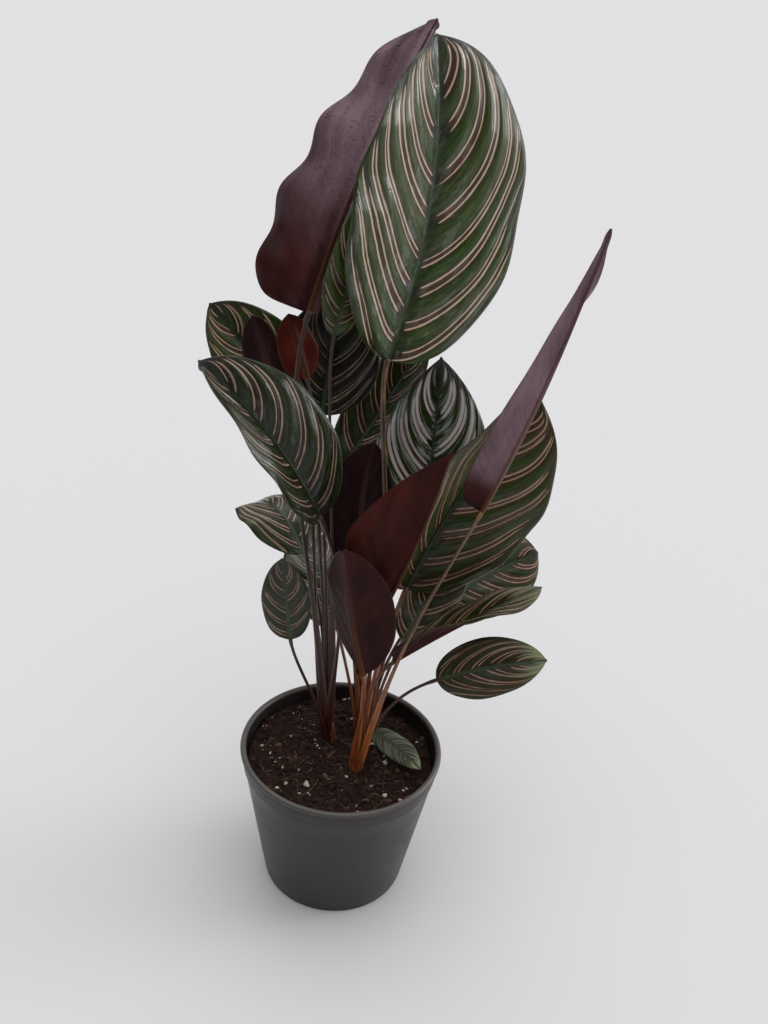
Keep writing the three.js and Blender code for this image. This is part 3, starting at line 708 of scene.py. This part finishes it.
def blade_surface(one, s, t):
    """The middle surface over s, a column from base to tip, and t, a row from left margin to right.

    Each half starts from the midrib at its fold angle and bends evenly back towards the margin, so it is
    an arc, and its margin is pushed out and in along the normal by a sine that grows with a power of |t|.
    """
    point, _, up, side = (part[:, None, :] for part in midrib(one, s))
    half = half_width(one, s)
    hand = np.where(t < 0, -1.0, 1.0)
    out = np.abs(t)
    first, last, bend = (np.where(t < 0, *halves) for halves in zip(one["left"], one["right"]))
    opened = np.minimum(1, half / FOLD_WIDTH)
    fold = np.radians(opened * (first + (last - first) * s))
    curl = np.radians(bend)
    angle = fold - curl * out
    across = (np.sin(fold) - np.sin(angle)) / curl
    rise = (np.cos(angle) - np.cos(fold)) / curl
    from_rib = half * out
    crease = (np.sqrt(from_rib ** 2 + CREASE_RADIUS ** 2) - CREASE_RADIUS) / np.maximum(from_rib, 1e-6)
    height, count, start = one["wave"]
    phase = 2 * np.pi * count * s + np.radians(start) + np.where(hand > 0, 0.7 * np.pi, 0)
    wave = height * np.sin(phase) * out ** WAVE_GROWTH * np.sqrt(np.sin(np.pi * np.clip(s, 0, 1)).clip(0))
    normal = up * np.cos(angle)[..., None] - side * (hand * np.sin(angle))[..., None]
    place = point + side * (hand * half * across)[..., None] + up * (half * rise * crease)[..., None]
    return place + normal * wave[..., None], normal, half


def vein_count(one, s, t, length):
    """How many pairs of stripes lie between the base and a point of the blade.

    A side vein leaves the midrib and sweeps forward as it goes out, by a quadratic in |t| that is weaker
    near the base and the tip. The pairs are counted by the place where the vein started, to the power
    VEIN_CROWDING, so they crowd at the base. The count starts a little before the base, for the veins
    that fan out from it along the lower margin. The left half's count is scaled and shifted, so that the
    stripes don't meet at the midrib.
    """
    out = np.abs(t)
    slender = one["width"] / length / USUAL_SLENDERNESS
    sweep = (VEIN_SWEEP[0] * out + VEIN_SWEEP[1] * out ** 2) * slender * one["slant"]
    sweep = sweep * (1 - np.exp(-s / SWEEP_ONSET)) * (1 - SWEEP_LOSS * smooth(s, 0.85, 1))
    early = EARLY_VEINS * (3 * one["slant"] - 2)
    start = np.maximum(s - sweep + early, 1e-3)
    count = (FEWEST_PAIRS + length / LENGTH_PER_PAIR) * start ** VEIN_CROWDING
    return np.where(t < 0, LEFT_SCALE * count + LEFT_SHIFT, count)


def vein_pitch(place, count):
    """Millimetres from one pair to the next: 1 over the length of the count's gradient on the surface."""
    by_row, by_column = np.gradient(place, axis=0), np.gradient(place, axis=1)
    count_row, count_column = np.gradient(count, axis=0), np.gradient(count, axis=1)
    rows, columns = (by_row ** 2).sum(-1), (by_column ** 2).sum(-1)
    mixed = (by_row * by_column).sum(-1)
    slope = columns * count_row ** 2 - 2 * mixed * count_row * count_column + rows * count_column ** 2
    area = np.maximum(rows * columns - mixed ** 2, 1e-9)
    return np.clip(1 / np.sqrt(np.maximum(slope / area, 1e-9)), 0.4, 40)


def blade_relief(one, number, length, s, t, across, margin, count, pitch):
    """The height of the pleats, the soft lengthwise folds and the ripples near the margin.

    The pleats are a cosine of the vein count. The folds are a sine of the distance from the midrib, which
    winds by another sine along it. The ripples are a sine along the blade times a cosine that slants over
    it.
    """
    inland = smooth(np.abs(across), 2, 6) * smooth(margin, 0.5, 6) * smooth(count, 0.4, 0.8)
    pleats = one["pleat"] * np.clip(pitch / PLEATED_PITCH, 0, 1) * np.cos(2 * np.pi * count) * inland
    folds = np.sin(across / FOLD_SPACING + 2.3 * number + 1.6 * np.sin(4 * s + number))
    folds = one["rumple"] * folds * smooth(np.abs(across), 2, 8) * smooth(margin, 0.5, 5)
    first, second = RIPPLE_SPACINGS
    ripples = np.sin(s * length / first + 3.1 * number) * np.cos(s * length / second + 2.2 * t)
    ripples = ripples * np.abs(t) ** 1.5 * smooth(margin, 0.2, 3)
    return folds - PLEAT_HEIGHT * pleats + RIPPLE_HEIGHT * ripples


def blade_values(one, number, s, t, across, margin, count, pitch):
    """What the leaf's materials read at each point, three numbers under each name."""
    size = one["width"] / FULL_WIDTH
    spacing = PAIR_SPACING - (PAIR_SPACING - MARGIN_SPACING) * np.abs(t)
    spacing = spacing * np.clip(pitch / 8, 0.2, 1) * (0.65 + 0.35 * size)
    width = LINE_HALF_WIDTH * np.clip(pitch / 5, 0.3, 1) * (0.5 + 0.5 * size)
    bloom = one["bloom"][0] + (one["bloom"][1] - one["bloom"][0]) * s
    values = {
        "vein": (count, across, margin),
        "pair": (pitch, spacing, width),
        "leaf": (s, number * 3.7, one["fresh"]),
        "upper": (one["depth"], one["silver"], one["pale"]),
        "under": (one["blush"], bloom, one["wet"]),
        "own": (one["tan"], np.clip(size, 0.15, 1), 0),
    }
    return {key: np.tile(stacked(*parts, shape=count.shape).reshape(-1, 3), (2, 1))
            for key, parts in values.items()}


def shell_faces(rows, columns):
    """Faces of an upper grid, of a lower grid numbered after it, and of the edge that joins them.

    With them comes the number of each one's material. The edge has the underside's.
    """
    under = rows * columns
    ring = np.arange(under).reshape(rows, columns)
    loop = np.concatenate([ring[0, :-1], ring[:-1, -1], ring[-1, :0:-1], ring[:0:-1, 0]])
    following = np.roll(loop, -1)
    upper = grid_faces(rows, columns)
    lower = grid_faces(rows, columns, first=under, flip=True)
    edge = stacked(loop, loop + under, following + under, following)
    faces = np.concatenate([upper, lower, edge])
    return faces, np.arange(len(faces)) >= len(upper)


def blade(one, number, materials):
    """A closed thin shell: the middle surface moved both ways along its normal, with a rib below it.

    The surface is first moved by its relief, and the shell thins to its edge as a quarter circle.
    """
    length = np.linalg.norm(np.subtract(one["tip"], one["base"])) + 0.3 * np.linalg.norm(one["bow"])
    rows = int(length / CELL)
    columns = 2 * int(one["width"] / 2 / CELL) + 1
    s = 0.5 - 0.5 * np.cos(np.pi * np.arange(rows)[:, None] / (rows - 1))
    mark = np.linspace(-1, 1, columns)[None, :]
    t = np.sign(mark) * np.abs(mark) ** COLUMN_CROWDING * (1 - EDGE_ROUNDING / (one["width"] / 2))
    t[0, [0, -1]] = -1, 1
    place, normal, half = blade_surface(one, s, t)
    count = vein_count(one, s, t, length)
    pitch = vein_pitch(place, count)
    across = half * t
    margin = half * (1 - np.abs(t))
    relief = blade_relief(one, number, length, s, t, across, margin, count, pitch)
    place = place + normal * relief[..., None]
    nearness = np.clip(margin / EDGE_ROUNDING, 0, 1)
    thick = EDGE_THICKNESS + (BLADE_THICKNESS - EDGE_THICKNESS) * np.sqrt(1 - (1 - nearness) ** 2)
    rib = RIB_HEIGHT * (1 - s) ** 0.7 * np.sqrt(np.clip(1 - (across / RIB_HALF_WIDTH) ** 2, 0, 1))
    top = place + normal * (thick / 2)[..., None]
    bottom = place - normal * (thick / 2 + rib)[..., None]
    points = np.concatenate([top.reshape(-1, 3), bottom.reshape(-1, 3)])
    faces, numbers = shell_faces(*count.shape)
    values = blade_values(one, number, s, t, across, margin, count, pitch)
    piece = make_piece(f"{one['name']}_blade", points, [faces], materials, numbers, values, slot="leaf")
    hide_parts(one["name"])


# Shoots
def cubic(points, u):
    """A cubic Bezier curve and its direction."""
    a, b, c, d = points
    place = (1 - u) ** 3 * a + 3 * u * (1 - u) ** 2 * b + 3 * u ** 2 * (1 - u) * c + u ** 3 * d
    direction = (1 - u) ** 2 * (b - a) + 2 * u * (1 - u) * (c - b) + u ** 2 * (d - c)
    return place, unit(direction)


def tube(rings, ends, stem):
    """Points, faces and values of a closed tube around its rings of points, with a point at each end."""
    stem = stem.reshape(-1, 3)
    points = np.concatenate([rings.reshape(-1, 3), ends])
    return points, *tube_faces(*rings.shape[:2]), np.concatenate([stem, stem[[0, -1]]])


def stalk(one, number):
    """A sheath that narrows into a round petiole, carried along a cubic curve from the foot to the blade.

    The section is an ellipse, wide across the shoot and thin outwards at the foot, and round from the
    sheath's end up. It swells just under the blade, and closes in it.
    """
    foot = np.array(SHOOTS[one["shoot"]]["foot"], float)
    base = np.array(one["base"], float)
    via = np.array(one["via"], float)
    lean = via[:2] - foot
    lean = lean * min(1, ROOT_SHARE * SHOOT_RADIUS / max(np.linalg.norm(lean), 1e-6))
    along = midrib(one, np.zeros((1, 1)))[1][0]
    root = np.array([*(foot + lean), SOIL_LEVEL - ROOT_DEPTH])
    control = (root, via, base - one["reach"] * along, base + 1.2 * along)
    length = np.linalg.norm(via - root) + np.linalg.norm(control[2] - via) + one["reach"]
    u = np.linspace(0, 1, int(length / STALK_CELL) + 4)[:, None]
    centre, direction = cubic(control, u)
    outward = np.append(unit(via[:2] - foot + 1e-3), 0)
    across = np.cross([0, 0, 1], outward)
    across = unit(across - (direction @ across)[:, None] * direction)
    out = np.cross(direction, across)
    slim = LEAST_STALK_RADIUS + one["width"] / BLADE_PER_STALK
    radius = SHEATH_RADIUS + (slim - SHEATH_RADIUS) * smooth(u, 0.05, SHEATH_SHARE)
    sheath = 1 - smooth(u, 0.08, SHEATH_SHARE)
    swelling = SWELLING * smooth(u * length, length - SWELLING_LENGTH, length - 5)
    radius = radius * (1 + swelling - 0.25 * smooth(u, 0.985, 1))
    angle = round_angles(STALK_SIDES)
    wide = radius * (1 + SHEATH_WIDER * sheath)
    thin = radius * (1 - SHEATH_THINNER * sheath)
    rings = (centre[:, None, :] + across[:, None, :] * (wide * np.cos(angle))[..., None]
             + out[:, None, :] * (thin * np.sin(angle))[..., None])
    tint = SHOOTS[one["shoot"]]["stalks"] + 0.05 * (number % 4) + one["stem"]
    return tube(rings, centre[[0, -1]], stacked(2 * np.cos(angle), centre[:, 2:] - SOIL_LEVEL, tint))


def crown(name):
    """The crown at a shoot's foot: a rounded, fluted cone, where the outer sheaths meet."""
    x, y = SHOOTS[name]["foot"]
    rise = np.linspace(-CROWN_DEPTH, CROWN_HEIGHT, 26)[:, None]
    angle = round_angles(60)
    round_top = np.sqrt(np.clip(1 - (rise / (CROWN_HEIGHT + 0.5)) ** 2, 0, 1))
    radius = CROWN_SHARE * SHOOT_RADIUS * np.where(rise < 0, 1, round_top)
    radius = radius * (0.95 + 0.09 * np.cos(CROWN_FLUTES * angle + rise / 6))
    rings = stacked(x + radius * np.cos(angle), y + radius * np.sin(angle), SOIL_LEVEL + rise)
    ends = np.array([[x, y, SOIL_LEVEL - CROWN_DEPTH], [x, y, SOIL_LEVEL + CROWN_HEIGHT + 0.3]])
    return tube(rings, ends, stacked(8 * np.cos(angle), rise, SHOOTS[name]["crown"]))


def shoot(name, material):
    """One mesh for each shoot: the crown and every stalk that grows from it."""
    stalks = [stalk(one, number) for number, one in enumerate(LEAVES) if one["shoot"] == name]
    points, quads, fans, stems = zip(crown(name), *stalks)
    firsts = np.cumsum([0] + [len(part) for part in points])
    faces = [np.concatenate([part + first for part, first in zip(parts, firsts)])
             for parts in (quads, fans)]
    piece = make_piece(f"shoot_{name}_stalks", np.concatenate(points), faces, [material],
                       values={"stem": np.concatenate(stems)}, slot="stalk")
    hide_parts(f"shoot_{name}")


# Pot
def outer_radius(z):
    """The wall's outer radius at a height, which grows in proportion from the foot to the collar."""
    return BASE_RADIUS + (INNER_RIM_RADIUS + WALL - COLLAR_STEP - BASE_RADIUS) * z / COLLAR_HEIGHT


def arc(centre, radius, start, end, steps):
    """Points on an arc in the plane of radius and height, with its angles in degrees."""
    angle = np.radians(np.linspace(start, end, steps))
    return stacked(centre[0] + radius[0] * np.cos(angle), centre[1] + radius[1] * np.sin(angle))


def lathe(profile, sides):
    """A profile of radius and height turned round the axis, closed by a point on the axis at each end."""
    angle = round_angles(sides)
    radius, height = profile[1:-1, :1], profile[1:-1, 1:]
    points = stacked(radius * np.cos(angle), radius * np.sin(angle), height).reshape(-1, 3)
    ends = np.array([[0, 0, profile[0, 1]], [0, 0, profile[-1, 1]]])
    return np.concatenate([points, ends]), *tube_faces(len(height), sides)


def drill(piece):
    """Cut a ring of round holes through the pot's floor, with prisms of 32 sides."""
    sides = 32
    angle = round_angles(sides)
    place = round_angles(DRAIN_HOLES).T
    x = DRAIN_CIRCLE * np.cos(place) + DRAIN_RADIUS * np.cos(angle)
    y = DRAIN_CIRCLE * np.sin(place) + DRAIN_RADIUS * np.sin(angle)
    points = np.stack([stacked(x, y, -1), stacked(x, y, FLOOR_THICKNESS + 1)], 1).reshape(-1, 3)
    faces = copied_faces(prism_faces(2, sides), DRAIN_HOLES, 2 * sides)
    cutter = make_piece("drain_holes", points, faces, [])
    cut = piece.modifiers.new("drain", "BOOLEAN")
    cut.operation = "DIFFERENCE"
    cut.solver = "EXACT"
    cut.object = cutter
    drilled = bpy.data.meshes.new_from_object(piece.evaluated_get(bpy.context.evaluated_depsgraph_get()))
    piece.modifiers.clear()
    piece.data = drilled
    bpy.data.objects.remove(cutter)


def pot(material):
    """The tapered wall, collar and rolled lip as one lathe, with a ring of holes cut through its floor."""
    lip = (RIM_RADIUS - LIP_WIDTH / 2, POT_HEIGHT - LIP_DEPTH / 2)
    lip_low = POT_HEIGHT - LIP_DEPTH
    step = outer_radius(COLLAR_HEIGHT) + COLLAR_STEP
    profile = np.concatenate([
        [[0, 0], [BASE_RADIUS * 0.5, 0], [BASE_RADIUS - 2 * FOOT_ROUNDING, 0]],
        arc((BASE_RADIUS - FOOT_ROUNDING, FOOT_ROUNDING), (FOOT_ROUNDING, FOOT_ROUNDING), -90, 0, 6),
        [[outer_radius(z), z] for z in np.linspace(4, COLLAR_HEIGHT - 0.6, 8)],
        [[outer_radius(COLLAR_HEIGHT) + 0.1, COLLAR_HEIGHT - 0.15], [step - 0.1, COLLAR_HEIGHT + 0.5],
         [step, COLLAR_HEIGHT + 0.9], [INNER_RIM_RADIUS + WALL, lip_low - 0.4],
         [INNER_RIM_RADIUS + WALL + 0.3, lip_low], [RIM_RADIUS - 0.5, lip_low]],
        arc(lip, (LIP_WIDTH / 2, LIP_DEPTH / 2), -50, 190, 22),
        [[INNER_RIM_RADIUS, lip_low]],
        [[outer_radius(z) - WALL, z] for z in (COLLAR_HEIGHT, 60, 30, FLOOR_THICKNESS)],
        [[0, FLOOR_THICKNESS]],
    ])
    points, *faces = lathe(profile, 192)
    piece = make_piece("pot_moulded", points, faces, [material], slot="pot_plastic")
    drill(piece)
    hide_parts("pot")


# Peat
def soil_height(x, y):
    """The solid's low relief, a dome with two ripples, and finer waves of falling height."""
    ripple = np.sin(x / 7 + 0.6) * np.cos(y / 6 - 0.4) + 0.6 * np.sin(x / 3.7 - y / 4.9)
    rim = outer_radius(SOIL_LEVEL) - WALL
    relief = SOIL_LEVEL - 1 + SOIL_DOME * (1 - (x ** 2 + y ** 2) / rim ** 2) + ripple
    for turn, wave, height in SOIL_WAVES:
        lean = x * np.cos(turn) + y * np.sin(turn)
        cross = y * np.cos(turn) - x * np.sin(turn)
        bent = lean / wave + 1.3 * np.sin(cross / wave * 0.7)
        relief = relief + height * np.sin(bent) * np.cos(cross / wave)
    return relief


def soil(material):
    """A closed plug: the relief on rings inside the wall, a tapered side and a flat underside."""
    sides, rings = 180, 64
    angle = round_angles(sides)
    reach = outer_radius(SOIL_LEVEL - 4) - WALL - WALL_GAP
    radius = reach * np.linspace(1 / rings, 1, rings)[:, None]
    x, y = radius * np.cos(angle), radius * np.sin(angle)
    low = FLOOR_THICKNESS + FLOOR_GAP
    low_reach = outer_radius(low) - WALL - WALL_GAP
    side = stacked(low_reach * np.cos(angle), low_reach * np.sin(angle), low)
    points = np.concatenate([stacked(x, y, soil_height(x, y)), side]).reshape(-1, 3)
    ends = np.array([[0, 0, soil_height(0.0, 0.0)], [0, 0, low]])
    faces = tube_faces(rings + 1, sides, flip=True)
    piece = make_piece("peat_fill", np.concatenate([points, ends]), faces, [material], slot="peat")
    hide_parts("soil")


def turns(chance, count, tilt):
    """Random rotation matrices: a full turn about Z, and up to tilt about X and Y."""
    a = chance.uniform(0, 2 * np.pi, count)
    b = chance.uniform(-tilt, tilt, count)
    c = chance.uniform(-tilt, tilt, count)
    about_z = stacked(np.cos(a), -np.sin(a), 0, np.sin(a), np.cos(a), 0, 0, 0, 1)
    about_x = stacked(1, 0, 0, 0, np.cos(b), -np.sin(b), 0, np.sin(b), np.cos(b))
    about_y = stacked(np.cos(c), 0, np.sin(c), 0, 1, 0, -np.sin(c), 0, np.cos(c))
    return about_z.reshape(-1, 3, 3) @ about_x.reshape(-1, 3, 3) @ about_y.reshape(-1, 3, 3)


def lump():
    """A small closed ball of a few faces, to be squashed and roughened."""
    polar = np.pi * np.arange(5) / 4
    return lathe(stacked(np.sin(polar), -np.cos(polar)), 6)


def strewn(chance, count, least, margin):
    """Random places, even over the peat from a least share of its area to a margin from the wall."""
    radius = (outer_radius(SOIL_LEVEL) - WALL - margin) * np.sqrt(chance.uniform(least, 1, count))
    angle = chance.uniform(0, 2 * np.pi, count)
    return radius * np.cos(angle), radius * np.sin(angle)


def scatter(name, material, seed, count, small, large, flat, stretch, sunk):
    """Many roughened lumps, squashed by flat and drawn out by stretch, strewn evenly over the peat.

    Each lies at the relief's height, sunk by a share of its own height, and small ones are the most
    common.
    """
    chance = np.random.default_rng(seed)
    points, *faces = lump()
    x, y = strewn(chance, count, 0.01, SCATTER_MARGIN)
    size = small + (large - small) * chance.uniform(0, 1, count) ** 2.2
    shape = stacked(size * chance.uniform(1, stretch, count), size, size * chance.uniform(*flat, count))
    rough = 1 + chance.uniform(-0.3, 0.3, (count, len(points), 1))
    local = points[None] * rough * shape[:, None, :]
    local = np.einsum("nij,nkj->nki", turns(chance, count, 0.5), local)
    centre = stacked(x, y, soil_height(x, y) - sunk * shape[:, 2])
    placed = (local + centre[:, None, :]).reshape(-1, 3)
    make_piece(name, placed, copied_faces(faces, count, len(points)), [material], slot="peat")


def fibres(name, material, seed, count):
    """Thin bent fibres lying on the peat: five-sided tubes along short arcs."""
    chance = np.random.default_rng(seed)
    rows, sides = 7, 5
    along = np.linspace(0, 1, rows)[None]
    x, y = strewn(chance, (count, 1), 0, FIBRE_MARGIN)
    heading = chance.uniform(0, 2 * np.pi, (count, 1)) + along * chance.uniform(-1.1, 1.1, (count, 1))
    step = (3 + 15 * chance.uniform(0, 1, (count, 1)) ** 2) / (rows - 1)
    x, y = x + np.cumsum(step * np.cos(heading), 1), y + np.cumsum(step * np.sin(heading), 1)
    reach = outer_radius(SOIL_LEVEL) - WALL - FIBRE_MARGIN
    inside = np.minimum(1, reach / np.maximum(np.hypot(x, y), 1e-6))
    x, y = x * inside, y * inside
    lift = chance.uniform(0.1, 1.6, (count, 1)) * np.sin(np.pi * along)
    centre = stacked(x, y, soil_height(x, y) + 0.15 + lift)
    thick = chance.uniform(0.1, 0.24, (count, 1)) * (1 - 0.5 * along)
    turn = round_angles(sides)[0]
    across = stacked(-np.sin(heading), np.cos(heading), 0)
    points = (centre[:, :, None, :] + across[:, :, None, :] * (thick[..., None] * np.cos(turn))[..., None]
              + np.array([0, 0, 1]) * (thick[..., None] * np.sin(turn))[..., None])
    faces = copied_faces(prism_faces(rows, sides), count, rows * sides)
    make_piece(name, points.reshape(-1, 3), faces, [material], slot="peat")


# Stage, light and camera
def stage():
    """A plain pale floor under soft light from all sides, a window to the right and a lamp overhead."""
    corners = np.array([[-1, -1, 0], [1, -1, 0], [1, 1, 0], [-1, 1, 0]]) * FLOOR_REACH
    material = new_material("floor_pale_matt", Base_Color=colour("#dcdbdc"), Roughness=1.0,
                            Specular_IOR_Level=0.0)[0]
    floor = make_piece("floor", corners, [np.array([[0, 1, 2, 3]])], [material])
    sky()
    lamp("window", (0.97, -0.05, 0.22), 1.0, 30)
    lamp("overhead", (0.2, 0.35, 0.9), 0.5, 50)
    bpy.context.scene.view_settings.view_transform = "Standard"


def lamp(name, direction, strength, angle):
    """A distant light, as wide as the angle in degrees."""
    light = bpy.data.lights.new(name, "SUN")
    light.energy = strength
    light.angle = radians(angle)
    new_object(name, light).rotation_euler = Vector(direction).to_track_quat("Z", "Y").to_euler()


def sky():
    """Light from all round, dim in front, bright overhead and to the right, as in a room with a window."""
    world = bpy.data.worlds.new("studio")
    world.use_nodes = True
    bpy.context.scene.world = world
    add = partial(add_node, world.node_tree)
    split = add("SeparateXYZ", (add("TexCoord", out="Generated"),)).node.outputs
    strength = SKY_FRONT
    sides = (("X", 0.7, 1.0, SKY_RIGHT), ("Z", 0.5, 1.0, SKY_TOP), ("Y", -0.3, 0.9, SKY_BACK))
    for axis, low, high, gain in sides:
        rise = add("MapRange", (split[axis], low, high, 0.0, gain), **SMOOTH)
        strength = add("Math", (rise, strength), operation="ADD")
    seen = add("LightPath", out="Is Camera Ray")
    background = world.node_tree.nodes["Background"]
    background.inputs["Color"].default_value = colour("#fafafb")
    plug(background.inputs, Strength=add("Mix", (seen, strength, SKY_SEEN), data_type="FLOAT"))


def camera():
    """The photograph's viewing angle: a look from the camera's place at its target, rolled a little."""
    data = bpy.data.cameras.new("camera")
    data.lens = CAMERA_LENS
    data.sensor_width = CAMERA_SENSOR
    data.clip_start = CAMERA_NEAREST * MM
    holder = new_object("camera", data)
    gaze = (Vector(CAMERA_PLACE) - Vector(CAMERA_TARGET)).to_track_quat("Z", "Y").to_matrix().to_4x4()
    holder.matrix_world = (Matrix.Translation(Vector(CAMERA_PLACE) * MM) @ gaze
                           @ Matrix.Rotation(radians(CAMERA_ROLL), 4, "Z"))
    bpy.context.scene.camera = holder


camera()
stage()
pot(pot_plastic())
soil(peat())
scatter("peat_crumbs", crumb("peat_crumb_dark", "#130a08", "#38241d", 0.9), seed=11, count=1700,
        small=0.5, large=2.4, flat=(0.5, 0.9), stretch=1.6, sunk=0.2)
scatter("bark_chips", crumb("bark_chip_weathered", "#2e1e16", "#62493a", 0.8), seed=12, count=150,
        small=0.5, large=2.2, flat=(0.2, 0.45), stretch=2.6, sunk=0.1)
perlite = crumb("perlite_expanded", "#8f8472", "#d8cebb", 0.85)
scatter("perlite_grains", perlite, seed=13, count=150, small=0.2, large=1.0, flat=(0.7, 1.0), stretch=1.3,
        sunk=0.1)
scatter("perlite_lumps", perlite, seed=17, count=14, small=1.4, large=2.5, flat=(0.6, 0.8), stretch=1.5,
        sunk=0.3)
fibres("peat_fibres", crumb("sphagnum_fibre_dry", "#3f3128", "#8f7b62", 0.85), seed=14, count=120)
stem_material = stalk_tissue()
for shoot_name in SHOOTS:
    shoot(shoot_name, stem_material)
faces_of_leaf = [leaf_upper(), leaf_under()]
for leaf_number, one_leaf in enumerate(LEAVES):
    blade(one_leaf, leaf_number, faces_of_leaf)
